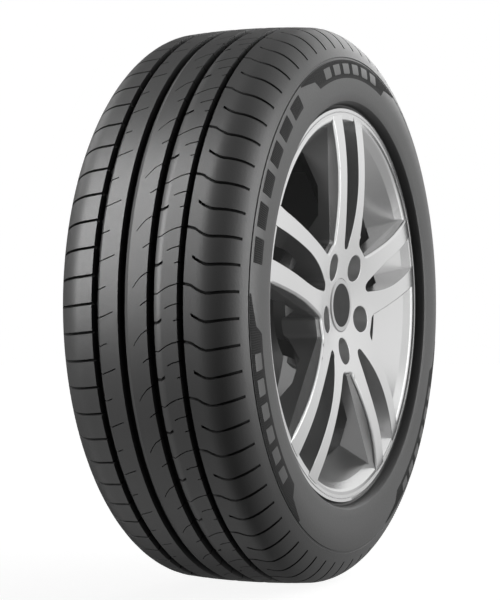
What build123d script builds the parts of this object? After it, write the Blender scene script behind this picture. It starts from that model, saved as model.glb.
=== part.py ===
"""A car tyre fitted on its five twin-spoke alloy wheel, with centre cap and snap-in valve.

Millimetres and degrees. The origin is the middle of the wheel, the spin axis is Y, +Z is up, and the
spoke face looks towards -Y. Sections are drawn on the XY plane as (radius, axial place) and turned
about Y. The face outlines are drawn on planes parallel to XZ, seen from the spoke side.
"""

import os
from math import cos, radians, sin, tan

from build123d import *

os.makedirs("parts", exist_ok=True)

# Tyre, moulded shape
tyre_diameter = 680.0
section_width = 238.0
crown_drop = 2.6  # fall of the crown from the middle to the edge of the tread
tread_half_width = 70.0
widest_share = 0.32  # the sidewall is widest at this share of the way up from the lip to the crown
lip_cover = 6.5  # the sidewall turns in over the lip from this height above it
lip_tuck = 3.7  # and has drawn in this far there
tread_thickness = 15.0
inner_shoulder_inset = 14.0
sidewall_thickness = 10.0
bead_width = 19.0
bead_height = 17.0
bead_fit = 0.2  # room between bead and rim

# Tread pattern. S runs outboard from the middle of the tread, T upwards round it
pitch_count = 34
tread_phase = 14.58  # angle of the first long slot above the -X axis
crown_flat = 18.0  # half width of the level middle rib
crown_break = 52.0  # S where the crown starts to fall faster
crown_break_drop = 1.2
groove_depth = 8.0
groove_bevel_depth = 2.4
groove_draft = 1.0
grooves = (  # S of both edges, and the bevel on the outboard edge
    (-57.0, -46.8, 3.0),
    (-23.8, -11.2, 4.5),
    (12.0, 25.0, 5.0),
    (48.2, 56.2, 1.5),
)
slot_depth = 6.5
slot_width = 2.6
slot_fade = 29.5  # the shoulder slots run out to nothing this far below the crown
slot_bend = -8.6  # T where the slot turns down the shoulder, at the edge of the tread
slot_route_start = (55.0, 1.5)  # S and T in the outboard groove
slot_route_end = (118.0, -6.8)  # S and T past the sidewall

# Rim
rim_diameter = 436.6  # bead seat
rim_width = 190.5  # between the flanges
seat_taper = 5.0
seat_length = 21.0
hump_height = 1.5
hump_run = 3.0
flange_height = 20.2
flange_thickness = 12.5
flange_curl = 8.0
inboard_flange_height = 17.5
well_depth = 23.3
well_start = 37.0  # from the outboard flange
well_floor = 30.0
well_rise = 28.0
barrel_wall = 5.5
barrel_drop = 5.3  # the long inboard leg lies this far below the bead seat
lip_face = 12.5  # width of the lip seen from the front
lip_groove_inset = 3.4
lip_groove_width = 1.6
lip_groove_depth = 1.2
flange_wall = 3.0
cone_overlap = 9.0  # the front cone runs this far past the start of the well

# Disc and twin spokes
spoke_pairs = 5
first_pair_angle = 90.0
wheel_offset = 45.0  # the mounting face lies this far outboard of the middle plane
hub_radius = 80.0
hub_face = 99.0  # outboard place of the face round the cap
spoke_root_radius = 75.0
spoke_root_face = 107.0
spoke_peak_start = 142.0
spoke_peak_end = 172.0
spoke_peak_face = 115.4
spoke_end_face = 108.2
spoke_end_inset = 7.5  # from the lip's edge
spoke_back_start = 116.0
spoke_back_end = 150.0
spoke_back_face = 87.0
hub_back_blend = 8.0
hub_back_face = 64.0
crease_face = 101.0  # plane of the crease along the window walls
cut_margin = 8.0
window_draft = 13.0  # of the walls in front of the crease
window_root_radius = 85.0
window_corner = 7.0
pair_half_root = 40.0  # half width over both spokes, at the hub
pair_half_rim = 48.0  # and at the rim
slit_half_rim = 20.2
slit_half_middle = 18.2
slit_middle_radius = 150.0
slit_half_root = 5.5
slit_root_radius = 72.0

# Hub
bolt_count = 5
bolt_circle = 112.0
bolt_hole = 15.0
bolt_pocket = 32.0
bolt_seat_thickness = 21.0
bolt_cone_angle = 60.0
hub_bore = 66.6
hub_bore_length = 30.0
cap_lip = 11.0  # length of the narrow bore that the cap snaps into
cap_bore = 58.0
cap_relief = 63.0  # room for the cap's barbs, between the narrow bore and the hub bore
cap_seat_depth = 4.0

# Centre cap
cap_diameter = 66.0
cap_gap = 0.3
cap_crown = 1.0
cap_rim_round = 1.5
insert_diameter = 53.0
insert_depth = 1.4
insert_fit = 0.2
cap_skirt_wall = 2.0
cap_leg_count = 6
cap_leg_gap = 9.0
cap_leg_root = 2.0  # left uncut behind the disc
cap_barb = 0.9
cap_barb_height = 3.0

# Valve
valve_angle = 68.0
valve_place = 72.0  # outboard place where the valve leaves the rim
valve_hole = 11.4
valve_fit = 0.3
valve_seat_wall = 4.0
valve_spot = 20.0
valve_spot_reach = 30.0
valve_head = 17.0
valve_head_height = 6.0
valve_collar = 14.0
valve_neck_length = 17.0
valve_neck_tip = 10.0
valve_tube_diameter = 7.7
valve_tube_out = 9.0
valve_tube_bore = 5.2
valve_core_length = 14.0
valve_core_sunk = 1.5
valve_cap_diameter = 10.2
valve_cap_length = 11.0
valve_cap_roof = 2.0

# Worked out from the sizes above
tread_radius = tyre_diameter / 2
half_section = section_width / 2
half_rim = rim_width / 2
seat_radius = rim_diameter / 2
lip_radius = seat_radius + flange_height
inboard_lip_radius = seat_radius + inboard_flange_height
lip_plane = half_rim + flange_thickness
widest_radius = lip_radius + widest_share * (tread_radius - lip_radius)
over_tread = tread_radius + crown_drop
pitch_angle = 360 / pitch_count
pair_angle = 360 / spoke_pairs


def sideways(radius, axial):
    """A section point on the outboard side."""
    return (radius, -axial)


# The tyre: half the section, from the crown over an elliptic shoulder to the sidewall and the bead
crown_middle = Vector(tread_radius, 0)
crown_level = Vector(tread_radius, crown_flat)
crown_knee = Vector(tread_radius - crown_break_drop, crown_break)
crown_edge = Vector(tread_radius - crown_drop, tread_half_width)
shoulder_centre = Vector(widest_radius, tread_half_width)
shoulder_height = crown_edge.X - widest_radius
shoulder_run = half_section - tread_half_width
sidewall_end = Vector(lip_radius + lip_cover, half_section - lip_tuck)
widest = Vector(widest_radius, half_section)
curl_top = Vector(lip_radius + bead_fit, half_rim + flange_curl)
curl_foot = Vector(lip_radius - flange_curl, half_rim - bead_fit)
bead_seat = seat_radius + bead_fit
heel = Vector(bead_seat, half_rim - bead_fit)
toe = Vector(bead_seat - bead_width * tan(radians(seat_taper)), half_rim - bead_width)
bead_top = Vector(seat_radius + bead_height, half_rim - bead_width)
inner_widest = Vector(widest_radius, half_section - sidewall_thickness)
inner_crown = Vector(tread_radius - tread_thickness, 0)
inner_crown_edge = Vector(inner_crown.X, tread_half_width - inner_shoulder_inset)
inner_shoulder = Vector(inner_crown.X - inner_shoulder_inset, inner_widest.Y - inner_shoulder_inset)

with BuildSketch() as tyre_section:
    with BuildLine():
        Polyline(inner_crown, inner_crown_edge, inner_shoulder, inner_widest, bead_top, toe)
        Polyline(toe, heel, curl_foot, curl_top, sidewall_end)
        TangentArc(widest, sidewall_end, tangent=(-1, 0))
        EllipticalCenterArc(shoulder_centre, shoulder_height, shoulder_run, arc_size=90)
        Polyline(crown_edge, crown_knee, crown_level, crown_middle, inner_crown)
    make_face()
    mirror(about=Plane.XZ)

# Ring grooves of the tread, each with a bevel on its outboard edge
with BuildSketch() as groove_section:
    for inner_edge, outer_edge, bevel in grooves:
        floor = tread_radius - groove_depth
        bevel_foot = tread_radius - groove_bevel_depth
        with BuildLine():
            Polyline(
                sideways(over_tread, inner_edge - groove_draft),
                sideways(floor, inner_edge + groove_draft),
                sideways(floor, outer_edge - bevel - groove_draft),
                sideways(bevel_foot, outer_edge - bevel),
                sideways(over_tread, outer_edge + bevel),
                close=True,
            )
        make_face()

# One shoulder slot: its walls seen from over the tread, its floor seen along the tread
phase = radians(tread_phase)
outwards = Vector(-cos(phase), 0, sin(phase))
slot_floor = tread_radius - slot_depth
fade_radius = tread_radius - slot_fade
fade_share = (fade_radius - widest_radius) / shoulder_height
fade_axial = tread_half_width + shoulder_run * (1 - fade_share**2) ** 0.5
slot_route = (slot_route_start, (tread_half_width, slot_bend), slot_route_end)
upper_edge = [(s, t + slot_width / 2) for s, t in slot_route]
lower_edge = [(s, t - slot_width / 2) for s, t in reversed(slot_route)]
with BuildPart() as shoulder_slot:
    with BuildSketch(Plane(outwards * over_tread, x_dir=(0, -1, 0), z_dir=outwards)):
        with BuildLine():
            Polyline(*upper_edge, *lower_edge, close=True)
        make_face()
    extrude(amount=fade_radius - over_tread)
    with BuildSketch(Plane((0, 0, 0), x_dir=(0, -1, 0), z_dir=Vector(0, -1, 0).cross(outwards))):
        with BuildLine():
            Polyline(
                (0, slot_floor),
                (tread_half_width, slot_floor),
                (fade_axial, fade_radius),
                (half_section, fade_radius),
                (half_section, over_tread),
                (0, over_tread),
                close=True,
            )
        make_face()
    extrude(amount=half_section, both=True, mode=Mode.INTERSECT)

pitch_turns = [Location((0, 0, 0), (0, number * pitch_angle, 0)) for number in range(pitch_count)]
with BuildPart() as tyre:
    add(revolve(tyre_section.sketch, axis=Axis.Y, mode=Mode.PRIVATE))
    add(revolve(groove_section.sketch, axis=Axis.Y, mode=Mode.PRIVATE), mode=Mode.SUBTRACT)
    with Locations(*pitch_turns):
        add(shoulder_slot.part, mode=Mode.SUBTRACT)
tyre.part.label = "tyre"
export_step(tyre.part, "parts/tyre.step")

# The rim, one ring of section
taper = tan(radians(seat_taper))
seat_end_radius = seat_radius - seat_length * taper
hump_radius = seat_end_radius + hump_height
well_radius = seat_radius - well_depth
leg_radius = seat_radius - barrel_drop
well_near = half_rim - well_start
well_far = well_near - well_floor
leg_start = well_far - well_rise
cone_foot = Vector(well_radius - barrel_wall, -(well_near + cone_overlap))
cone_top = Vector(seat_radius - flange_wall, -(half_rim + flange_wall))


def flange(radius, side):
    """Points from the bead seat up the flange to its lip, on one side of the rim."""
    return (
        (seat_radius, side * half_rim),
        (radius - flange_curl, side * half_rim),
        (radius, side * (half_rim + flange_curl)),
    )


with BuildSketch() as rim_section:
    with BuildLine():
        Polyline(
            *reversed(flange(lip_radius, -1)),
            sideways(seat_end_radius, half_rim - seat_length),
            sideways(hump_radius, half_rim - seat_length - hump_run),
            sideways(well_radius, well_near),
            sideways(well_radius, well_far),
            sideways(leg_radius, leg_start),
            (leg_radius, half_rim - seat_length - 3 * hump_run),
            (hump_radius, half_rim - seat_length - hump_run),
            (seat_end_radius, half_rim - seat_length),
            *flange(inboard_lip_radius, 1),
            (inboard_lip_radius, lip_plane),
            (inboard_lip_radius - flange_curl, lip_plane),
            (seat_radius - barrel_wall, half_rim),
            (leg_radius - barrel_wall, half_rim - seat_length - 3 * hump_run),
            sideways(leg_radius - barrel_wall, leg_start),
            sideways(well_radius - barrel_wall, well_far),
            cone_foot,
            cone_top,
            sideways(lip_radius - lip_face, lip_plane),
            sideways(lip_radius - lip_groove_inset - lip_groove_width, lip_plane),
            sideways(lip_radius - lip_groove_inset - lip_groove_width / 2, lip_plane - lip_groove_depth),
            sideways(lip_radius - lip_groove_inset, lip_plane),
            sideways(lip_radius, lip_plane),
            close=True,
        )
    make_face()

# The disc that the spokes are cut from, arched in front and hollowed behind
disc_end = lip_radius - spoke_end_inset
inside_wall = Vector(barrel_wall / 3, 0)
with BuildSketch() as disc_section:
    with BuildLine():
        Polyline(
            sideways(0, hub_face),
            sideways(cap_diameter / 2, hub_face),
            sideways(spoke_root_radius, spoke_root_face),
            sideways(spoke_peak_start, spoke_peak_face),
            sideways(spoke_peak_end, spoke_peak_face),
            sideways(disc_end, spoke_end_face),
            sideways(disc_end, half_rim + flange_curl),
            cone_top + inside_wall,
            cone_foot + inside_wall,
            sideways(spoke_back_end, spoke_back_face),
            sideways(spoke_back_start, spoke_back_face),
            sideways(hub_radius + hub_back_blend, hub_back_face),
            sideways(hub_radius, wheel_offset),
            sideways(0, wheel_offset),
            close=True,
        )
    make_face()

# A wide window, drawn with its middle along +X: two spoke sides that meet, less the root circle
half_turn = radians(pair_angle / 2)
spread = (pair_half_rim - pair_half_root) / (lip_radius - spoke_root_radius)
meet = (pair_half_root - spread * spoke_root_radius) * cos(half_turn) / (
    sin(half_turn) - spread * cos(half_turn)
)


def spoke_side(along):
    """A point on the outer side of a spoke, so far along the middle line of its pair."""
    half = pair_half_root + spread * (along - spoke_root_radius)
    return (
        along * cos(half_turn) + half * sin(half_turn),
        along * sin(half_turn) - half * cos(half_turn),
    )


window_reach = lip_radius + cut_margin
far_x, far_y = spoke_side(window_reach)
with BuildSketch() as window_outline:
    with BuildLine():
        Polyline(spoke_side(meet), (far_x, far_y), (far_x + far_y, 0), (far_x, -far_y), close=True)
    make_face()
    Circle(window_root_radius, mode=Mode.SUBTRACT)
    fillet(window_outline.vertices().sort_by(SortBy.DISTANCE)[:2], window_corner)

# The slit between the two spokes of a pair, drawn along +X
slit_root = (slit_root_radius, slit_half_root)
slit_middle = (slit_middle_radius, slit_half_middle)
slit_far = (window_reach, slit_half_rim)
with BuildSketch() as slit_outline:
    with BuildLine():
        side = Line(slit_far, slit_middle)
        bend = TangentArc(slit_middle, slit_root, tangent=side % 1)
        TangentArc(slit_root, (slit_root_radius, -slit_half_root), tangent=bend % 1)
        mirror(side, about=Plane.XZ)
        mirror(bend, about=Plane.XZ)
        Line((window_reach, -slit_half_rim), slit_far)
    make_face()

front_cut = spoke_peak_face - crease_face + cut_margin
back_cut = crease_face - wheel_offset + cut_margin
crease_plane = Plane.XZ.offset(crease_face)
bolt_seat_plane = Plane.XZ.offset(wheel_offset + bolt_seat_thickness)
bolt_cone_depth = (bolt_pocket - bolt_hole) / 2 / tan(radians(bolt_cone_angle / 2))
bolt_start = first_pair_angle + pair_angle / 2
cap_seat_face = hub_face - cap_seat_depth
cap_seat_diameter = cap_diameter + 2 * cap_gap
lip_back = cap_seat_face - cap_lip

# The valve's axis stands square on the front cone of the rim and points at the hub
cone_line = cone_top - cone_foot
valve_share = (-valve_place - cone_foot.Y) / cone_line.Y
valve_foot = cone_foot + cone_line * valve_share
valve_lean = Vector(cone_line.Y, -cone_line.X).normalized()
valve_turn = radians(valve_angle)


def round_the_wheel(section):
    """A section vector (radius, axial), turned to the valve's angle round the wheel."""
    return Vector(section.X * cos(valve_turn), section.Y, section.X * sin(valve_turn))


valve_axis = round_the_wheel(valve_lean)
valve_plane = Plane(round_the_wheel(valve_foot), x_dir=(-sin(valve_turn), 0, cos(valve_turn)), z_dir=valve_axis)

with BuildPart() as alloy_wheel:
    add(revolve(disc_section.sketch, axis=Axis.Y, mode=Mode.PRIVATE))
    with BuildSketch(crease_plane) as windows:
        with PolarLocations(0, spoke_pairs, start_angle=bolt_start):
            add(window_outline.sketch)
    extrude(amount=front_cut, taper=-window_draft, mode=Mode.SUBTRACT)
    extrude(windows.sketch, amount=-back_cut, mode=Mode.SUBTRACT)
    with BuildSketch(Plane.XZ.offset(spoke_peak_face + cut_margin)):
        with PolarLocations(0, spoke_pairs, start_angle=first_pair_angle):
            add(slit_outline.sketch)
    extrude(amount=-(front_cut + back_cut), mode=Mode.SUBTRACT)
    with BuildSketch(bolt_seat_plane) as pockets:
        with PolarLocations(bolt_circle / 2, bolt_count, start_angle=bolt_start):
            Circle(bolt_pocket / 2)
    extrude(amount=spoke_peak_face - wheel_offset - bolt_seat_thickness, mode=Mode.SUBTRACT)
    extrude(pockets.sketch, amount=-bolt_cone_depth, taper=bolt_cone_angle / 2, mode=Mode.SUBTRACT)
    with BuildSketch(bolt_seat_plane):
        with PolarLocations(bolt_circle / 2, bolt_count, start_angle=bolt_start):
            Circle(bolt_hole / 2)
    extrude(amount=-bolt_seat_thickness, mode=Mode.SUBTRACT)
    with BuildSketch(Plane.XZ.offset(hub_face)):
        Circle(cap_seat_diameter / 2)
    extrude(amount=-cap_seat_depth, mode=Mode.SUBTRACT)
    with BuildSketch(Plane.XZ.offset(cap_seat_face)):
        Circle(cap_bore / 2)
    extrude(amount=-cap_lip, mode=Mode.SUBTRACT)
    with BuildSketch(Plane.XZ.offset(lip_back)):
        Circle(cap_relief / 2)
    extrude(amount=-(lip_back - wheel_offset), mode=Mode.SUBTRACT)
    with BuildSketch(Plane.XZ.offset(wheel_offset)):
        Circle(hub_bore / 2)
    extrude(amount=hub_bore_length, mode=Mode.SUBTRACT)
    add(revolve(rim_section.sketch, axis=Axis.Y, mode=Mode.PRIVATE))
    with BuildSketch(valve_plane):
        Circle(valve_hole / 2)
    extrude(amount=valve_seat_wall, both=True, mode=Mode.SUBTRACT)
    with BuildSketch(valve_plane.offset(-valve_seat_wall)):
        Circle(valve_spot / 2)
    extrude(amount=-valve_spot_reach, mode=Mode.SUBTRACT)
alloy_wheel.part.label = "alloy_wheel"
export_step(alloy_wheel.part, "parts/alloy_wheel.step")

# The centre cap: a disc in the hub's seat, and a split skirt whose barbs catch behind the narrow bore
cap_radius = cap_diameter / 2
skirt_radius = cap_bore / 2 - cap_gap
barb_start = lip_back - cap_gap
skirt_end = barb_start - cap_barb_height
recess_face = hub_face + cap_crown - insert_depth
with BuildSketch() as cap_section:
    with BuildLine():
        Polyline(
            sideways(0, recess_face),
            sideways(insert_diameter / 2, recess_face),
            sideways(insert_diameter / 2, hub_face + cap_crown),
            sideways(cap_radius - cap_rim_round, hub_face + cap_crown),
            sideways(cap_radius, hub_face + cap_crown - cap_rim_round),
            sideways(cap_radius, cap_seat_face),
            sideways(skirt_radius, cap_seat_face),
            sideways(skirt_radius, barb_start),
            sideways(skirt_radius + cap_barb, barb_start),
            sideways(skirt_radius, skirt_end),
            sideways(skirt_radius - cap_skirt_wall, skirt_end),
            sideways(skirt_radius - cap_skirt_wall, cap_seat_face),
            sideways(0, cap_seat_face),
            close=True,
        )
    make_face()
with BuildPart() as centre_cap:
    add(revolve(cap_section.sketch, axis=Axis.Y, mode=Mode.PRIVATE))
    with BuildSketch(Plane.XZ.offset(skirt_end)):
        with PolarLocations(skirt_radius, cap_leg_count):
            Rectangle(cap_radius - cap_gap, cap_leg_gap)
        Circle(skirt_radius - 2 * cap_skirt_wall, mode=Mode.SUBTRACT)
    extrude(amount=cap_seat_face - skirt_end - cap_leg_root, mode=Mode.SUBTRACT)
centre_cap.part.label = "centre_cap"
export_step(centre_cap.part, "parts/centre_cap.step")

# The cap's plain face, a disc let into its front
with BuildPart() as cap_insert:
    with BuildSketch(Plane.XZ.offset(recess_face)):
        Circle(insert_diameter / 2 - insert_fit)
    extrude(amount=insert_depth)
cap_insert.part.label = "cap_insert"
export_step(cap_insert.part, "parts/cap_insert.step")

# The snap-in valve, turned about its own axis. Heights run from the front cone of the rim towards the hub
valve_section_plane = Plane(valve_plane.origin, x_dir=valve_plane.x_dir, z_dir=valve_plane.x_dir.cross(valve_axis))
valve_line = Axis(valve_plane.origin, valve_axis)
neck_radius = valve_hole / 2 - valve_fit
tube_radius = valve_tube_diameter / 2
tube_bore_radius = valve_tube_bore / 2
head_top = -valve_seat_wall
collar_foot = valve_fit
tube_foot = head_top - valve_head_height
tube_tip = valve_neck_length + valve_tube_out
with BuildPart() as valve_stem:
    with BuildSketch(valve_section_plane):
        with BuildLine():
            Polyline(
                (tube_radius, tube_foot),
                (valve_head / 2, tube_foot),
                (valve_head / 2, head_top),
                (neck_radius, head_top),
                (neck_radius, collar_foot),
                (valve_collar / 2, collar_foot),
                (valve_neck_tip / 2, valve_neck_length),
                (tube_radius, valve_neck_length),
                close=True,
            )
        make_face()
    revolve(axis=valve_line)
valve_stem.part.label = "valve_stem"
export_step(valve_stem.part, "parts/valve_stem.step")

# The brass tube bonded into the rubber, and the valve core screwed into its outer end
core_top = tube_tip - valve_core_sunk
core_foot = core_top - valve_core_length
with BuildPart() as valve_tube:
    with BuildSketch(valve_section_plane):
        with BuildLine():
            Polyline(
                (tube_bore_radius, tube_foot),
                (tube_radius, tube_foot),
                (tube_radius, tube_tip),
                (tube_bore_radius, tube_tip),
                close=True,
            )
        make_face()
    revolve(axis=valve_line)
valve_tube.part.label = "valve_tube"
export_step(valve_tube.part, "parts/valve_tube.step")

with BuildPart() as valve_core:
    with BuildSketch(valve_section_plane):
        with BuildLine():
            Polyline(
                (0, core_foot),
                (tube_bore_radius, core_foot),
                (tube_bore_radius, core_top),
                (0, core_top),
                close=True,
            )
        make_face()
    revolve(axis=valve_line)
valve_core.part.label = "valve_core"
export_step(valve_core.part, "parts/valve_core.step")

# The dust cap
cap_foot = valve_neck_length + cap_gap
with BuildPart() as valve_cap:
    with BuildSketch(valve_plane.offset(cap_foot)):
        Circle(valve_cap_diameter / 2)
    extrude(amount=valve_cap_length)
    with BuildSketch(valve_plane.offset(cap_foot)):
        Circle(tube_radius)
    extrude(amount=valve_cap_length - valve_cap_roof, mode=Mode.SUBTRACT)
valve_cap.part.label = "valve_cap"
export_step(valve_cap.part, "parts/valve_cap.step")
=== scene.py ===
# %% [markdown]
# # A car tyre on its twin-spoke alloy wheel
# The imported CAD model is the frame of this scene: its nodes are in metres, the origin is the middle of
# the wheel, the wheel spins about Y, +Z is up and the spoke face looks towards -Y. This lesson dresses
# that frame: it models the tread and the sidewall in full, rounds the casting, and gives each piece
# the finish of the real material.

# %% Load the frame
from math import cos, pi, radians, sin, sqrt

import bmesh
import bpy
from mathutils import Matrix, Vector


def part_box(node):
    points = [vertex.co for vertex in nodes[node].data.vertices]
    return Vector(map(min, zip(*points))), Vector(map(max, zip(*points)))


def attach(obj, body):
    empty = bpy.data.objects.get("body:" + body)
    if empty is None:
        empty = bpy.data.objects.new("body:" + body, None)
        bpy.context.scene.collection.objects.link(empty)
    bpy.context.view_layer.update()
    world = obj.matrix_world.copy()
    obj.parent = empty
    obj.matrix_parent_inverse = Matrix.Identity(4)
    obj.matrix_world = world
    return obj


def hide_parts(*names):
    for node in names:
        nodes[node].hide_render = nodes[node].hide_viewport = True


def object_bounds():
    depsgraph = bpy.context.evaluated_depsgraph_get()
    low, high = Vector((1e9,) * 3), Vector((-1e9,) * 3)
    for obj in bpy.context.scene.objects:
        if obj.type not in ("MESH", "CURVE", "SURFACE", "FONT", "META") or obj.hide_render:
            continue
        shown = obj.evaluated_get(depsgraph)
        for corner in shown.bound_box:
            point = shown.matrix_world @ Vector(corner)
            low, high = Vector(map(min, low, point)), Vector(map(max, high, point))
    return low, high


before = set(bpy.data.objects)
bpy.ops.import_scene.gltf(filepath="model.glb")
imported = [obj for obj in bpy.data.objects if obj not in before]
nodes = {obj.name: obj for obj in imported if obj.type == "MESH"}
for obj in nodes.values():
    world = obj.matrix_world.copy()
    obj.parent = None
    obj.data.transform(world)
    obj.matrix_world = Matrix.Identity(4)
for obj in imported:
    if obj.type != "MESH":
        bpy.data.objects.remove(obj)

MM = 0.001
cad_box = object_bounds()
print("nodes in the frame:", ", ".join(sorted(nodes)))

# %% [markdown]
# ## Camera
# The photograph was taken with a long lens, level with the hub and well round towards the tread, so
# that the wheel turns to a narrow ellipse. A level camera has no tilt to correct. The shift only puts
# the hub where it lies in the frame, a little right of the middle.

# %% Place the camera
VIEW_TURN = radians(-65.4)
VIEW_DISTANCE = 2.4818
towards_camera = Vector((sin(VIEW_TURN), -cos(VIEW_TURN), 0))
lens = bpy.data.cameras.new("camera")
lens.sensor_width = 36.0
lens.lens = 120.2
lens.shift_x = -0.0282
lens.shift_y = 0.0087
camera = bpy.data.objects.new("camera", lens)
camera.location = towards_camera * VIEW_DISTANCE
camera.rotation_euler = (-towards_camera).to_track_quat("-Z", "Y").to_euler()
bpy.context.scene.collection.objects.link(camera)
bpy.context.scene.camera = camera
print("camera at", [round(v, 3) for v in camera.location])

# %% [markdown]
# ## Shader sums
# A procedural finish is a sum of masks and noises. Written node by node it is hard to read, so one
# small class wraps a socket and turns Python's operators into Math nodes, and one method makes every
# other kind of node from its type, its settings and the values of its sockets.


# %% Wrap a socket
class Wire:
    """An output socket of a finish, with plain sums on it."""

    def __init__(self, finish, socket):
        self.finish = finish
        self.socket = socket

    def sum(self, operation, *values):
        sockets = dict(enumerate(values))
        return self.finish.node("ShaderNodeMath", {"operation": operation}, sockets)

    def __add__(self, other):
        return self.sum("ADD", self, other)

    def __radd__(self, other):
        return self.sum("ADD", other, self)

    def __sub__(self, other):
        return self.sum("SUBTRACT", self, other)

    def __rsub__(self, other):
        return self.sum("SUBTRACT", other, self)

    def __mul__(self, other):
        return self.sum("MULTIPLY", self, other)

    def __rmul__(self, other):
        return self.sum("MULTIPLY", other, self)

    def smaller(self, other):
        return self.sum("MINIMUM", self, other)

    def ramp(self, low, high):
        """0 below low, 1 above high, smooth between."""
        settings = {"interpolation_type": "SMOOTHSTEP", "clamp": True}
        return self.finish.node("ShaderNodeMapRange", settings, {0: self, 1: low, 2: high})


class Finish:
    """A material with one Principled shader, built up by its method node."""

    def __init__(self, name, **constants):
        self.material = bpy.data.materials.new(name)
        self.material.use_nodes = True
        self.tree = self.material.node_tree
        self.shader = self.tree.nodes["Principled BSDF"]
        for socket, value in constants.items():
            self.shader.inputs[socket.replace("_", " ")].default_value = value

    def plug(self, socket, value):
        if isinstance(value, Wire):
            self.tree.links.new(value.socket, socket)
        else:
            socket.default_value = value

    def node(self, kind, settings, sockets, out=0):
        made = self.tree.nodes.new(kind)
        for setting, value in settings.items():
            setattr(made, setting, value)
        for socket, value in sockets.items():
            self.plug(made.inputs[socket], value)
        return Wire(self, made.outputs[out])

    def share(self, name):
        """A value that the mesh carries for each corner or face."""
        return self.node("ShaderNodeAttribute", {"attribute_name": name}, {}, "Fac")

    def noise(self, scale, detail=3.0):
        """A noise that stays in place on the piece."""
        point = self.node("ShaderNodeTexCoord", {}, {}, "Object")
        return self.node("ShaderNodeTexNoise", {}, {"Vector": point, "Scale": scale, "Detail": detail})

    def blend(self, share, first, second):
        return self.node("ShaderNodeMix", {"data_type": "RGBA"}, {0: share, 6: first, 7: second}, 2)

    def bump(self, height, distance):
        sockets = {"Height": height, "Distance": distance, "Strength": 1.0}
        return self.node("ShaderNodeBump", {}, sockets)

    def shade(self, **wires):
        for socket, wire in wires.items():
            self.plug(self.shader.inputs[socket.replace("_", " ")], wire)


def grey(value):
    return (value, value, value, 1)


def finish_piece(name, bm, finish, slot, *replaced):
    """Makes an object of a bmesh, in the frame, with its finish."""
    mesh = bpy.data.meshes.new(name)
    bm.to_mesh(mesh)
    bm.free()
    piece = bpy.data.objects.new(name, mesh)
    bpy.context.scene.collection.objects.link(piece)
    mesh.materials.append(finish.material)
    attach(piece, "root")
    if replaced:
        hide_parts(*replaced)
    mesh.calc_loop_triangles()
    print(name, "has", len(mesh.loop_triangles), "triangles")
    return piece


# %% [markdown]
# ## Tyre rubber
# The mould leaves rubber satin and faintly cloudy. Little light gets into the grooves and out again, so
# the mesh carries a share of painted shade, 1 on their floors, and the finish is painted darker and made
# duller with it. A fine grain in roughness and bump breaks up the highlight.

# %% Rubber finish
GRAIN = 420.0
GRAIN_HEIGHT = 0.00012
rubber = Finish("tyre_rubber", Specular_IOR_Level=0.5)
grain = rubber.noise(GRAIN)
cloud = rubber.noise(9.0, 2.0)
recess_shade = rubber.share("recess_shade")
skin = rubber.blend(cloud, grey(0.032), grey(0.042))
rubber.shade(
    # painted shade: the floors of grooves and slots are painted near black
    Base_Color=rubber.blend(recess_shade, skin, grey(0.004)),
    Roughness=(0.4 + 0.12 * grain + 0.45 * recess_shade).smaller(1.0),
    Normal=rubber.bump(grain, GRAIN_HEIGHT),
)

# %% [markdown]
# ## Tyre
# The moulded tyre repeats one pitch of its tread thirty-four times. The pitch is made from the closed
# section of the tyre: its edges are extruded through the angles where a slot or a sipe begins or ends,
# the faces inside each slot are extruded inwards, each row is then turned by the wave of the pattern,
# and the pitch is spun round the wheel. Lengths are in millimetres and angles in degrees. s is the
# place along the axis, outboard positive, and r the radius.

# %% Section of the tyre
PITCHES = 34
PHASE = 14.58
TYRE_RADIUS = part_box("tyre")[1].z / MM
HALF_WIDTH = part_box("tyre")[1].y / MM
LIP_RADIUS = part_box("alloy_wheel")[1].z / MM
TREAD_EDGE = 70.0
CROWN_FALL = ((18.0, 0.0), (52.0, 1.2), (TREAD_EDGE, 2.6))
WIDEST_SHARE = 0.32
WIDEST = LIP_RADIUS + WIDEST_SHARE * (TYRE_RADIUS - LIP_RADIUS)
SHOULDER_HEIGHT = TYRE_RADIUS - CROWN_FALL[-1][1] - WIDEST
SHOULDER_RUN = HALF_WIDTH - TREAD_EDGE
GROOVE_DEPTH = 8.0
GROOVE_LEAN = 1.0
BEVEL_DEPTH = 2.4
# both edges of each groove, and the width of its bevel
GROOVES = ((-57.0, -46.8, 3.0), (-23.8, -11.2, 4.5), (12.0, 25.0, 5.0), (48.2, 56.2, 1.5))


def between(table, place):
    """Reads a table of (place, value) pairs, straight between them and level past its ends."""
    if place <= table[0][0]:
        return table[0][1]
    for (a, low), (b, high) in zip(table, table[1:]):
        if place <= b:
            return low + (high - low) * (place - a) / (b - a)
    return table[-1][1]


def crown(s):
    return TYRE_RADIUS - between(CROWN_FALL, abs(s))


def shoulder(turn):
    """Axial place, radius and outward normal on the elliptic shoulder, turn degrees from the tread."""
    c, k = cos(radians(turn)), sin(radians(turn))
    normal = Vector((SHOULDER_HEIGHT * k, SHOULDER_RUN * c)).normalized()
    return TREAD_EDGE + SHOULDER_RUN * k, WIDEST + SHOULDER_HEIGHT * c, normal


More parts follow.
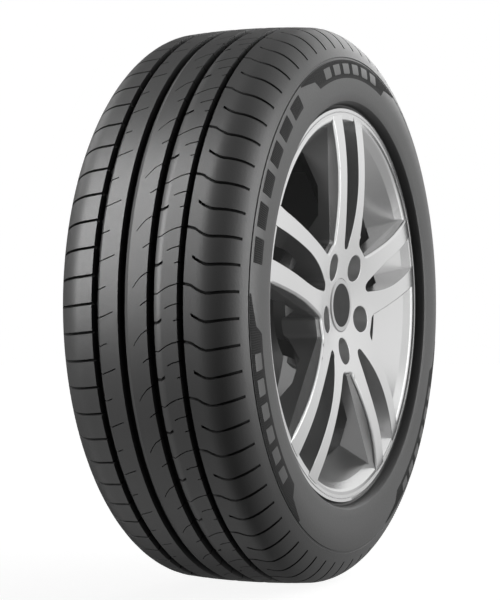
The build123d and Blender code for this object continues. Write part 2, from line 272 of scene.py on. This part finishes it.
RING_TURN = 65.5
RING_HALF = 1.4
RING_FLOOR = 0.6 * RING_HALF
RING_DEPTH = 1.0
SLOT_END = 53.5
SIDE_TURNS = (
    6, 12, 18, 24, 30, 36, 42, 48, SLOT_END, 58,
    RING_TURN - RING_HALF, RING_TURN - RING_FLOOR, RING_TURN + RING_FLOOR, RING_TURN + RING_HALF,
    70, 75, 80, 85, 90,
)
LOWER_WALL = (
    (118.8, 265.0), (118.5, 257.0), (117.8, 251.0), (116.6, 247.2), (114.2, 245.2), (109.0, 244.0),
    (105.2, 242.6),
)
LIP_GAP = 0.2
LIP_EDGE = (103.25, LIP_RADIUS + LIP_GAP)
INSIDE = (
    (95.05, 230.5), (95.05, 218.5), (76.25, 216.84), (76.25, 235.3), (92.0, 246.0), (104.5, 258.0),
    (109.0, 271.0), (107.0, 288.0), (95.0, 311.0), (80.0, 320.0), (56.0, 325.0),
)
RIB_ROWS = (
    -63.0, -39.0, -35.0, -30.0, -8.0, -5.0, -1.0, 4.5, 8.5, 30.0, 34.0, 40.0, 44.0, 60.0, 64.5, 67.5,
)

side = []
for turn in SIDE_TURNS:
    s, r, normal = shoulder(turn)
    dip = RING_DEPTH if abs(turn - RING_TURN) < (RING_FLOOR + RING_HALF) / 2 else 0.0
    side.append((s - normal.x * dip, r - normal.y * dip, normal))
level = Vector((0, 1))
side += [(s, r, Vector((1, 0))) for s, r in LOWER_WALL + (LIP_EDGE,)]
tread = [(s, crown(s), level) for s in (-TREAD_EDGE, *RIB_ROWS, TREAD_EDGE)]
for inner, outer, bevel in GROOVES:
    tread.append((inner, crown(inner), level))
    tread.append((inner + GROOVE_LEAN, crown(inner) - GROOVE_DEPTH, level))
    tread.append((outer - bevel - GROOVE_LEAN, crown(outer) - GROOVE_DEPTH, level))
    tread.append((outer - bevel, crown(outer) - BEVEL_DEPTH, level))
    tread.append((outer, crown(outer), level))
tread.sort(key=lambda row: row[0])
inside = [(s, r, level) for s, r in INSIDE]


def mirrored(rows):
    return [(-s, r, Vector((-normal.x, normal.y))) for s, r, normal in rows]


section = mirrored(inside)[::-1] + mirrored(side)[::-1] + tread + side + inside
outer_rows = range(len(inside), len(section) - len(inside))
print("rows in the section:", len(section))

# %% Slots and sipes of one pitch
# how far the pattern is turned at each s
WAVE = (
    (-105, -0.9), (-57, 0), (-46.8, 0), (-23.8, 1.58), (-11.2, 1.58), (-5, 3.13), (-1, 4.13), (5, 5.33),
    (12, 6.05), (25, 6.05), (32.5, 6.95), (40, 7.55), (48.2, 7.92), (57, 7.92), (65, 7.61), (70, 7.02),
    (77.5, 6.34), (82.5, 6.17), (92.5, 6.41), (105, 6.65),
)
SLOT_S = shoulder(SLOT_END)[0]
SLOT_LEAST = 0.1
SNAP = 0.01
# angles of both walls, s of both ends, and depth
SLOTS = (
    (2.30, 2.90, 53.7, SLOT_S, 6.0),
    (-3.00, -2.40, 64.5, SLOT_S, 6.0),
    (1.35, 1.89, -SLOT_S, -56.0, 6.0),
    (-3.93, -3.39, -SLOT_S, -56.0, 6.0),
    (4.11, 4.35, -50.8, -30.0, 5.0),
    (-1.16, -0.92, -50.8, -39.0, 5.0),
    (-4.11, -3.87, -5.0, 13.0, 5.5),
    (1.215, 1.455, 4.5, 13.0, 5.5),
    (2.48, 2.72, 19.0, 49.2, 5.5),
    (-3.00, -2.40, 19.0, 30.0, 4.0),
    (-1.16, -0.92, 34.0, 49.2, 4.0),
    (-4.11, -3.87, 44.0, 49.2, 5.0),
)
FILL_COLUMNS = (-1.8, 0.15, 3.5)
half_pitch = 180 / PITCHES
walls = [angle for slot in SLOTS for angle in slot[:2]]
columns = sorted({-half_pitch, half_pitch, *walls, *FILL_COLUMNS})


def on_tyre(s, r, angle):
    turn = radians(PHASE + angle)
    return Vector((-r * cos(turn), -s, r * sin(turn))) * MM


tyre = bmesh.new()
row_of = tyre.verts.layers.int.new("row")
column_of = tyre.verts.layers.int.new("column")
recess_shade_of = tyre.verts.layers.float.new("recess_shade")
corners = []
for number, (s, r, normal) in enumerate(section):
    corner = tyre.verts.new(on_tyre(s, r, columns[0]))
    corner[row_of] = number
    if number in outer_rows and abs(s) < TREAD_EDGE:
        # painted shade on the tread, growing with the depth below the crown
        corner[recess_shade_of] = min(1, (crown(s) - r) / GROOVE_DEPTH)
    corners.append(corner)
front = [tyre.edges.new(pair) for pair in zip(corners, corners[1:] + corners[:1])]
for number, (last, angle) in enumerate(zip(columns, columns[1:]), 1):
    made = bmesh.ops.extrude_edge_only(tyre, edges=front)["geom"]
    front = [part for part in made if isinstance(part, bmesh.types.BMEdge)]
    fresh = [part for part in made if isinstance(part, bmesh.types.BMVert)]
    bmesh.ops.rotate(tyre, verts=fresh, matrix=Matrix.Rotation(radians(angle - last), 3, "Y"))
    for corner in fresh:
        corner[column_of] = number
print("faces in the plain pitch:", len(tyre.faces))

# %% Cut the slots
SLOT_MERGE = 1e-6
for wall, far_wall, start, end, depth in SLOTS:
    first, last = columns.index(wall), columns.index(far_wall)
    rows = [n for n in outer_rows if start - SNAP <= section[n][0] <= end + SNAP]
    rows = [n for n in rows if section[n][1] > WIDEST]
    floor = []
    for face in tyre.faces:
        at = [(corner[row_of], corner[column_of]) for corner in face.verts]
        if all(r in rows and first <= c <= last for r, c in at):
            floor.append(face)
    lowered = bmesh.ops.extrude_face_region(tyre, geom=floor)["geom"]
    for corner in lowered:
        if isinstance(corner, bmesh.types.BMVert):
            s, r, normal = section[corner[row_of]]
            if abs(s) <= TREAD_EDGE:
                low_s, low_r = s, min(r, crown(s) - depth)
            else:
                fade = max(SLOT_LEAST, 1 - ((abs(s) - TREAD_EDGE) / (SLOT_S - TREAD_EDGE)) ** 3)
                low_s, low_r = s - normal.x * depth * fade, r - normal.y * depth * fade
            corner.co = on_tyre(low_s, low_r, columns[corner[column_of]])
            # slot floors get the full painted shade
            corner[recess_shade_of] = 1.0
    bmesh.ops.delete(tyre, geom=floor, context="FACES")
bmesh.ops.remove_doubles(tyre, verts=tyre.verts, dist=SLOT_MERGE)
print("faces with the slots cut:", len(tyre.faces))

# %% Turn the rows to the wave, and spin the pitch round the wheel
PITCH_MERGE = 1e-5
MOULD_SHARP = radians(28)
for corner in tyre.verts:
    wave = between(WAVE, section[corner[row_of]][0])
    corner.co = Matrix.Rotation(radians(wave), 3, "Y") @ corner.co
everything = tyre.verts[:] + tyre.edges[:] + tyre.faces[:]
bmesh.ops.spin(
    tyre, geom=everything, axis=(0, 1, 0), angle=2 * pi * (PITCHES - 1) / PITCHES,
    steps=PITCHES - 1, use_duplicate=True,
)
bmesh.ops.remove_doubles(tyre, verts=tyre.verts, dist=PITCH_MERGE)
bmesh.ops.recalc_face_normals(tyre, faces=tyre.faces)
print("open edges:", sum(not edge.is_manifold for edge in tyre.edges))
for face in tyre.faces:
    face.smooth = True
for edge in tyre.edges:
    edge.smooth = edge.calc_face_angle(pi) < MOULD_SHARP
moulded_tyre = finish_piece("moulded_tyre", tyre, rubber, "tread_rubber", "tyre")

# %% [markdown]
# ## Sidewall panels
# The sidewall carries three panels of fine ridges, with tails that run out along the ring groove. Their
# rubber is painted darker than the smooth rubber, as painted shade for the light the ridges scatter.
# Bars
# stand out from both: ridged ones on the smooth rubber and smooth ones on the panels. Each is a grid
# laid over the sidewall and then given a thickness. On the ridged ones every other column is lifted to a
# ridge.

# %% Panel shapes
PANEL_MIDDLES = (87.0, -27.0, -141.0)
PANEL_INNERS = ((20.5, 274.5), (22.5, 286.0), (24.0, 287.5), (29.5, 294.5))
PANEL_OUTER = 296.7
PANEL_RIDGES = 110
BAR_SMOOTH = ((1.7, 279.5), (1.9, 280.5))
BAR_SMOOTH_OUTER = 292.0
BAR_SMOOTH_STEP = 5.8
BARS_ON_PANEL = 6
BAR_RIDGED = ((2.6, 275.5), (2.9, 276.5))
BAR_RIDGED_OUTER = 293.0
BARS_RIDGED = range(12, 55, 8)
RIDGED_COLUMNS = 24
SMOOTH_COLUMNS = 8
SHEET_ROWS = 8
SHEET_DEPTH = 0.5
SHEET_EDGE = 0.99
SHEET_INSET = 0.02
RIDGE = 0.35
RIDGED_LIFT = 0.06
SMOOTH_LIFT = 0.5


def wall_place(radius):
    """Axial place of the sidewall above its widest line."""
    return TREAD_EDGE + SHOULDER_RUN * sqrt(1 - ((radius - WIDEST) / SHOULDER_HEIGHT) ** 2)


def patch(bm, middle, inners, outer, count, lift, ridge):
    """Lays a grid over the sidewall, round an angle.

    inners gives the radius of its lower edge by the angle from the middle.
    """
    sheet = bmesh.ops.create_grid(bm, x_segments=count, y_segments=SHEET_ROWS, size=1.0)["verts"]
    for corner in sheet:
        turn = corner.co.x * inners[-1][0]
        inner = between(inners, abs(turn))
        radius = inner + (outer - inner) * (corner.co.y + 1) / 2
        crest = round((corner.co.x + 1) / 2 * count) % 2 * (abs(corner.co.y) < SHEET_EDGE)
        place = min(wall_place(radius) + lift + ridge * crest, HALF_WIDTH - SHEET_INSET)
        angle = radians(middle + turn)
        corner.co = Vector((-radius * cos(angle), -place, radius * sin(angle))) * MM


def thick_sheet(bm):
    """Turns the sheets outwards and gives them a thickness, into the rubber."""
    bm.normal_update()
    bmesh.ops.reverse_faces(bm, faces=[face for face in bm.faces if face.normal.y > 0])
    bmesh.ops.solidify(bm, geom=bm.faces[:], thickness=SHEET_DEPTH * MM)
    bmesh.ops.recalc_face_normals(bm, faces=bm.faces)


# %% Ridged panels and bars
panel_rubber = Finish("panel_rubber", Specular_IOR_Level=0.2)
panel_grain = panel_rubber.noise(GRAIN)
panel_rubber.shade(
    # painted shade: the panels are painted darker than the smooth rubber
    Base_Color=panel_rubber.blend(panel_grain, grey(0.009), grey(0.016)),
    Roughness=0.6 + 0.2 * panel_grain,
)
ridged = bmesh.new()
smooth = bmesh.new()
for middle in PANEL_MIDDLES:
    patch(ridged, middle, PANEL_INNERS, PANEL_OUTER, 2 * PANEL_RIDGES, RIDGED_LIFT, RIDGE)
    for number in range(BARS_ON_PANEL):
        turn = (number - (BARS_ON_PANEL - 1) / 2) * BAR_SMOOTH_STEP
        patch(smooth, middle + turn, BAR_SMOOTH, BAR_SMOOTH_OUTER, SMOOTH_COLUMNS, SMOOTH_LIFT, 0.0)
for middle in BARS_RIDGED:
    patch(ridged, middle, BAR_RIDGED, BAR_RIDGED_OUTER, RIDGED_COLUMNS, RIDGED_LIFT, RIDGE)
thick_sheet(ridged)
thick_sheet(smooth)
sidewall_panels = finish_piece("sidewall_panels", ridged, panel_rubber, "tread_rubber")
sidewall_bars = finish_piece("sidewall_bars", smooth, rubber, "tread_rubber")

# %% [markdown]
# ## Cast alloy
# The wheel is cast aluminium with a bright silver paint. Silver paint is tiny flakes under clear
# lacquer, so it is metallic, not quite mirror smooth, and it has a coat. The mesh carries two shares for
# each face. wall paints shade on the sides of the windows and slits: they are painted darker and made
# less metallic, as painted shade. bare makes the bolt pockets duller.

# %% Silver finish
silver = Finish("silver_paint", Coat_Weight=0.15, Coat_Roughness=0.08)
bare = silver.share("bare")
wall_shade = silver.share("wall")
flake = silver.noise(1500.0, 2.0)
haze = silver.noise(14.0, 2.0)
paint = silver.blend(flake, grey(0.72), grey(0.80))
silver.shade(
    # painted shade: walls of windows and slits are painted dark grey and made less metallic
    Base_Color=silver.blend(wall_shade, paint, grey(0.30)),
    Metallic=1 - 0.15 * bare - 0.3 * wall_shade,
    Roughness=0.22 + 0.06 * haze + 0.1 * bare,
)

# %% [markdown]
# ## Cast wheel
# A casting has no knife edges: the spokes arch smoothly from the hub to the rim, and their window sides
# carry a broad soft bevel that catches the light. The slits and the mouths of the bolt pockets have
# finer ones. A copy of the CAD wheel is merged and its flat faces joined, so that the bevels run along
# clean edges. Cuts across the spokes then give the arch its rows.

# %% Copy the CAD wheel and bevel its edges
PAIRS = 5
FIRST_PAIR = 90.0
CREASE = 101.0
FRONT_RUNS = ((75.0, 107.0), (142.0, 115.4), (172.0, 115.4), (231.0, 108.2))
ARCH_TOP = (157.0, 115.4)
ROWS = range(88, 228, 7)
# a face turned outboard less than this is a wall, and these are the shares of painted shade on the walls
WALL_FACING = -0.45
FRONT_WALL = 0.7
SLIT_WALL = 0.55
SIDE_ON = 0.5
SPOKE_MIDDLE = 28.0
ACROSS = Vector((1, 0, 1))
LUG_TURN = 54.0
LUG_RADIUS = 56.0
POCKET_RADIUS = 16.0
POCKET_MARGIN = 0.3
HUB_FRONT = 95.0
CAD_MERGE = 2e-6
FLAT = radians(0.15)
SHARP = radians(32)
CREASE_CLEAR = 1.0
WINDOW_SPAN = (78, 226)
SLIT_SPAN = (72, 226)
WINDOW_BEVEL = 4.0
SLIT_BEVEL = 0.8
MOUTH_BEVEL = 1.2


def round_wheel(first):
    """Five ways out from the axis, the first at an angle in degrees."""
    lines = [radians(first + 360 / PAIRS * number) for number in range(PAIRS)]
    return [Vector((cos(line), 0, sin(line))) for line in lines]


alongs = round_wheel(FIRST_PAIR)
lugs = [way * LUG_RADIUS * MM for way in round_wheel(LUG_TURN)]


def nearest_lug(point):
    """Where the axis of the nearest bolt hole crosses the middle plane."""
    return max(lugs, key=point.dot)


def in_pocket(face):
    """Whether a face is part of a bolt hole, its seat or its pocket."""
    lug = nearest_lug(face.calc_center_median())
    reach = (POCKET_RADIUS + POCKET_MARGIN) * MM
    return all((corner.co - lug).xz.length < reach for corner in face.verts)


def near_pair(point):
    """How far a point lies to the side of its nearest spoke pair, in millimetres."""
    along = max(alongs, key=point.dot)
    return abs(point.x * along.z - point.z * along.x) / MM


def arch(radius):
    """Front of the smooth arch of a spoke, and its slope, at a radius."""
    foot_radius, foot = FRONT_RUNS[0] if radius < ARCH_TOP[0] else FRONT_RUNS[-1]
    fall = (ARCH_TOP[1] - foot) / (foot_radius - ARCH_TOP[0]) ** 2
    return ARCH_TOP[1] - fall * (radius - ARCH_TOP[0]) ** 2, -2 * fall * (radius - ARCH_TOP[0])


def polar(point):
    """Radius and outboard place of a point, in millimetres."""
    return sqrt(point.x**2 + point.z**2) / MM, -point.y / MM


def front_edges(inner, outer, window_side):
    """Sharp outer edges on the front of the wheel, between two radii, along the windows or the slits."""
    found = []
    for edge in wheel.edges:
        if len(edge.link_faces) == 2 and edge.is_convex and edge.calc_face_angle() > SHARP:
            middle = (edge.verts[0].co + edge.verts[1].co) / 2
            radius, depth = polar(middle)
            by_window = near_pair(middle) > SPOKE_MIDDLE
            if inner < radius < outer and depth > CREASE + CREASE_CLEAR and by_window == window_side:
                found.append(edge)
    return found


def side_part(normal, out):
    """How far a normal points round the wheel, given the way outwards from the axis."""
    return abs(normal.x * out.z - normal.z * out.x)


def wall_share(face):
    """How much painted shade a face gets: none in front, some in the slits, most behind the crease."""
    middle = face.calc_center_median()
    if face.normal.y <= WALL_FACING:
        return 0.0
    side_on = side_part(face.normal, (middle * ACROSS).normalized()) > SIDE_ON
    if side_on and near_pair(middle) < SPOKE_MIDDLE:
        return SLIT_WALL
    return FRONT_WALL if polar(middle)[1] > CREASE else 1.0


wheel = bmesh.new()
wheel.from_mesh(nodes["alloy_wheel"].data)
bmesh.ops.remove_doubles(wheel, verts=wheel.verts, dist=CAD_MERGE)
bmesh.ops.dissolve_limit(wheel, angle_limit=FLAT, verts=wheel.verts, edges=wheel.edges)
rounded_of = wheel.faces.layers.int.new("rounded")
soft = {
    "affect": "EDGES", "profile": 0.5, "material": -1, "clamp_overlap": False, "offset_type": "OFFSET",
}
broad = front_edges(*WINDOW_SPAN, True)
bevels = bmesh.ops.bevel(wheel, geom=broad, offset=WINDOW_BEVEL * MM, segments=4, **soft)["faces"]
fine = front_edges(*SLIT_SPAN, False)
bevels += bmesh.ops.bevel(wheel, geom=fine, offset=SLIT_BEVEL * MM, segments=2, **soft)["faces"]
mouths = []
for edge in wheel.edges:
    deep = min(polar(corner.co)[1] for corner in edge.verts)
    if len(edge.link_faces) == 2 and deep > HUB_FRONT and sum(map(in_pocket, edge.link_faces)) == 1:
        mouths.append(edge)
bevels += bmesh.ops.bevel(wheel, geom=mouths, offset=MOUTH_BEVEL * MM, segments=3, **soft)["faces"]
for face in bevels:
    if face.is_valid:
        face[rounded_of] = 1
print("bevels:", len(broad), "broad,", len(fine), "fine,", len(mouths), "round the bolt pockets")

# %% Arch the spokes
CUT_REACH = 60.0
PAIR_HALF = 62.0
CREASE_SNAP = 0.05
CAST_SHARP = radians(36)
for along in alongs:
    for row in ROWS:
        cut = []
        for face in wheel.faces:
            middle = face.calc_center_median()
            out = middle.dot(along) / MM
            if polar(middle)[1] > CREASE and out > 0 and abs(out - row) < CUT_REACH:
                if near_pair(middle) < PAIR_HALF:
                    cut.append(face)
        around = {part for face in cut for part in (*face.verts, *face.edges)}
        bmesh.ops.bisect_plane(wheel, geom=cut + list(around), plane_co=along * row * MM, plane_no=along)
for corner in wheel.verts:
    radius, depth = polar(corner.co)
    if FRONT_RUNS[0][0] < radius < FRONT_RUNS[-1][0] and depth > CREASE:
        flat = between(FRONT_RUNS, radius)
        share = min(1, (depth - CREASE) / (flat - CREASE))
        corner.co.y -= (arch(radius)[0] - flat) * share * MM
bmesh.ops.dissolve_degenerate(wheel, dist=CAD_MERGE, edges=wheel.edges)
bare_of = wheel.faces.layers.float.new("bare")
wall_of = wheel.faces.layers.float.new("wall")
for face in wheel.faces:
    face.smooth = True
    face[bare_of] = float(in_pocket(face))
    # painted shade on the walls, none in the bolt pockets
    face[wall_of] = 0.0 if face[bare_of] else wall_share(face)
for edge in wheel.edges:
    depths = [polar(corner.co)[1] for corner in edge.verts]
    on_crease = all(abs(depth - CREASE) < CREASE_SNAP for depth in depths)
    edge.smooth = edge.calc_face_angle(pi) < CAST_SHARP and not on_crease
print("faces of the casting:", len(wheel.faces))
cast_wheel = finish_piece("cast_wheel", wheel, silver, "silver_alloy", "alloy_wheel")

# %% [markdown]
# ## True normals
# Long thin faces shade in streaks. A face that lies on a turned surface, in a bolt pocket or on the arch
# of a spoke gets the normals of that surface instead. Each other face takes the mean of the faces round
# its corners, weighed by area: those within a few degrees of it, or within a wide angle on a bevel.

# %% Give the turned surfaces their true normals
ROUNDED_COS = cos(radians(50))
BROAD_COS = cos(radians(9))
TURNED_SIDE = 0.03
ARCH_FACING = -0.95


def turned_normals(mesh):
    """A normal for each corner of each face, in the order of the mesh."""
    rounded = mesh.attributes["rounded"].data
    pocket = mesh.attributes["bare"].data
    around = [[] for vertex in mesh.vertices]
    for face in mesh.polygons:
        for number in face.vertices:
            around[number].append((face.normal, face.area))
    normals = []
    for face in mesh.polygons:
        bored = pocket[face.index].value > 0.5
        axis = nearest_lug(face.center) if bored else Vector()
        out = ((face.center - axis) * ACROSS).normalized()
        turned = bored or side_part(face.normal, out) < TURNED_SIDE
        radius, depth = polar(face.center)
        on_spoke = FRONT_RUNS[0][0] < radius < FRONT_RUNS[-1][0] and depth > CREASE
        on_arch = on_spoke and face.normal.y < ARCH_FACING
        for number in face.vertices:
            corner = mesh.vertices[number].co
            here = ((corner - axis) * ACROSS).normalized()
            if on_arch:
                normal = here * -arch(polar(corner)[0])[1] - Vector((0, 1, 0))
            elif turned:
                normal = here * face.normal.dot(out) + Vector((0, face.normal.y, 0))
            else:
                limit = ROUNDED_COS if rounded[face.index].value else BROAD_COS
                near = [(way, area) for way, area in around[number] if way.dot(face.normal) > limit]
                normal = sum((way * area for way, area in near), Vector())
            normals.append(normal.normalized())
    return normals


cast_wheel.data.normals_split_custom_set(turned_normals(cast_wheel.data))
print("corners with a normal of their own:", len(cast_wheel.data.loops))

# %% Cap and valve finishes
cap_paint = Finish("cap_silver_paint", Metallic=0.85, Coat_Weight=0.3)
cap_paint.shade(Base_Color=grey(0.62), Roughness=0.26 + 0.06 * cap_paint.noise(40.0))
cap_black = Finish("cap_black_enamel", Specular_IOR_Level=0.3)
cap_black.shade(Base_Color=grey(0.012), Roughness=0.4 + 0.1 * cap_black.noise(60.0))
valve_rubber = Finish("snap_in_rubber")
valve_rubber.shade(Base_Color=grey(0.018), Roughness=0.5 + 0.15 * valve_rubber.noise(300.0))
brass = Finish("turned_brass", Metallic=1.0)
brass.shade(Base_Color=(0.72, 0.52, 0.24, 1), Roughness=0.28 + 0.15 * brass.noise(300.0))
dust_cap = Finish("dust_cap_plastic")
dust_cap.shade(Base_Color=grey(0.015), Roughness=0.42 + 0.1 * dust_cap.noise(300.0))
dressing = {
    "centre_cap": cap_paint, "cap_insert": cap_black, "valve_stem": valve_rubber,
    "valve_tube": brass, "valve_core": brass, "valve_cap": dust_cap,
}
for node, finish in dressing.items():
    nodes[node].data.materials.clear()
    nodes[node].data.materials.append(finish.material)
    print(node, "wears", finish.material.name)

# %% [markdown]
# ## Studio
# The photograph has soft, bright fronts and deep shade, on white. The white ground is a dome and a pale
# floor that only the camera sees, so that they don't flatten the light on the part. The room itself
# glows where the spoke face mirrors it to the camera, more above than below. Soft boxes do the rest, and
# each lights only the tyre or only the wheel, so that one can be set without the other. The cap and the
# valve have only the glow of the room.

# %% Floor and dome
FLOOR_HALF = 9.0
DOME_RADIUS = 9.0


def stage_piece(name, bm, colour, glow):
    """Makes an object of the stage, which only the camera sees."""
    data = bpy.data.meshes.new(name)
    bm.to_mesh(data)
    bm.free()
    piece = bpy.data.objects.new(name, data)
    bpy.context.scene.collection.objects.link(piece)
    cover = Finish(name + "_paint", Roughness=0.9, Emission_Color=grey(1.0), Emission_Strength=glow)
    cover.shade(Base_Color=grey(colour))
    data.materials.append(cover.material)
    piece.visible_diffuse = False
    piece.visible_glossy = False
    piece.visible_shadow = False


floor_mesh = bmesh.new()
bmesh.ops.create_grid(floor_mesh, x_segments=1, y_segments=1, size=FLOOR_HALF)
bmesh.ops.translate(floor_mesh, verts=floor_mesh.verts, vec=(0, 0, cad_box[0].z))
stage_piece("floor", floor_mesh, 0.5, 0.9)
dome_mesh = bmesh.new()
bmesh.ops.create_icosphere(dome_mesh, subdivisions=3, radius=DOME_RADIUS)
stage_piece("dome", dome_mesh, 0.0, 1.0)

# %% Glow of the room
ROOM_DIM = 0.02
ROOM_LOW = 0.38
ROOM_HIGH = 0.56
ROOM_RIGHT = 0.75
ROOM_FRONT = 0.66
AHEAD_RAMP = (0.1, 0.8)
ABOVE_RAMP = (-0.6, 0.3)
sky = bpy.data.worlds.new("studio")
sky.use_nodes = True
bpy.context.scene.world = sky
# the room has no shader of its own, only the node tree of the world
room = Finish.__new__(Finish)
room.tree = sky.node_tree
ray = room.node("ShaderNodeTexCoord", {}, {}, "Generated")
ray_x, ray_y, ray_z = [room.node("ShaderNodeSeparateXYZ", {}, {0: ray}, axis) for axis in "XYZ"]
ahead = (ROOM_RIGHT * ray_x - ROOM_FRONT * ray_y).ramp(*AHEAD_RAMP)
above = ray_z.ramp(*ABOVE_RAMP)
glow = ROOM_DIM + ahead * (ROOM_LOW + ROOM_HIGH * above)
room.plug(room.tree.nodes["Background"].inputs["Strength"], glow)
room.plug(room.tree.nodes["Background"].inputs["Color"], grey(1.0))
print("the room glows from", ROOM_DIM, "to", ROOM_DIM + ROOM_LOW + ROOM_HIGH)


# %% Soft boxes
def soft_box(name, place, size, glow, *lit):
    """A soft box at a place, turned to the wheel, that lights only the pieces given.

    Its glow is in units of paper white.
    """
    light = bpy.data.lights.new(name, "AREA")
    light.shape = "RECTANGLE"
    light.size, light.size_y = size
    light.energy = glow * pi * size[0] * size[1]
    lamp = bpy.data.objects.new(name, light)
    lamp.location = place
    lamp.rotation_euler = (-Vector(place)).to_track_quat("-Z", "Y").to_euler()
    lamp.visible_camera = False
    bpy.context.scene.collection.objects.link(lamp)
    group = bpy.data.collections.new(name + "_lights")
    for piece in lit:
        group.objects.link(piece)
    lamp.light_linking.receiver_collection = group


sidewall = (moulded_tyre, sidewall_panels, sidewall_bars)
soft_box("tread_box", (-2.1, 1.7, 1.3), (0.9, 3.2), 19.0, moulded_tyre)
soft_box("low_box", (-0.4, 1.25, -2.6), (3.0, 3.0), 0.7, moulded_tyre)
soft_box("wall_box", (0.9, -2.6, 0.5), (1.2, 2.2), 8.0, *sidewall)
soft_box("rim_box", (2.6, -0.1, 1.3), (1.6, 1.2), 3.0, *sidewall)
soft_box("back_box", (0.6, 2.6, 1.6), (1.6, 1.2), 2.0, moulded_tyre)
soft_box("barrel_box", (-1.6, -2.2, 0.0), (2.4, 6.0), 0.82, cast_wheel)
soft_box("edge_box", (0.6, -2.9, 0.0), (1.2, 3.5), 0.8, cast_wheel)
soft_box("rear_box", (0.3, 2.9, 0.6), (2.4, 2.4), 0.45, cast_wheel)
soft_box("spoke_box", (-2.9, -0.1, 0.3), (1.2, 2.0), 0.2, cast_wheel)
soft_box("window_box", (-1.75, 1.25, 2.1), (1.6, 2.0), 0.9, cast_wheel)
bpy.context.scene.view_settings.view_transform = "Standard"
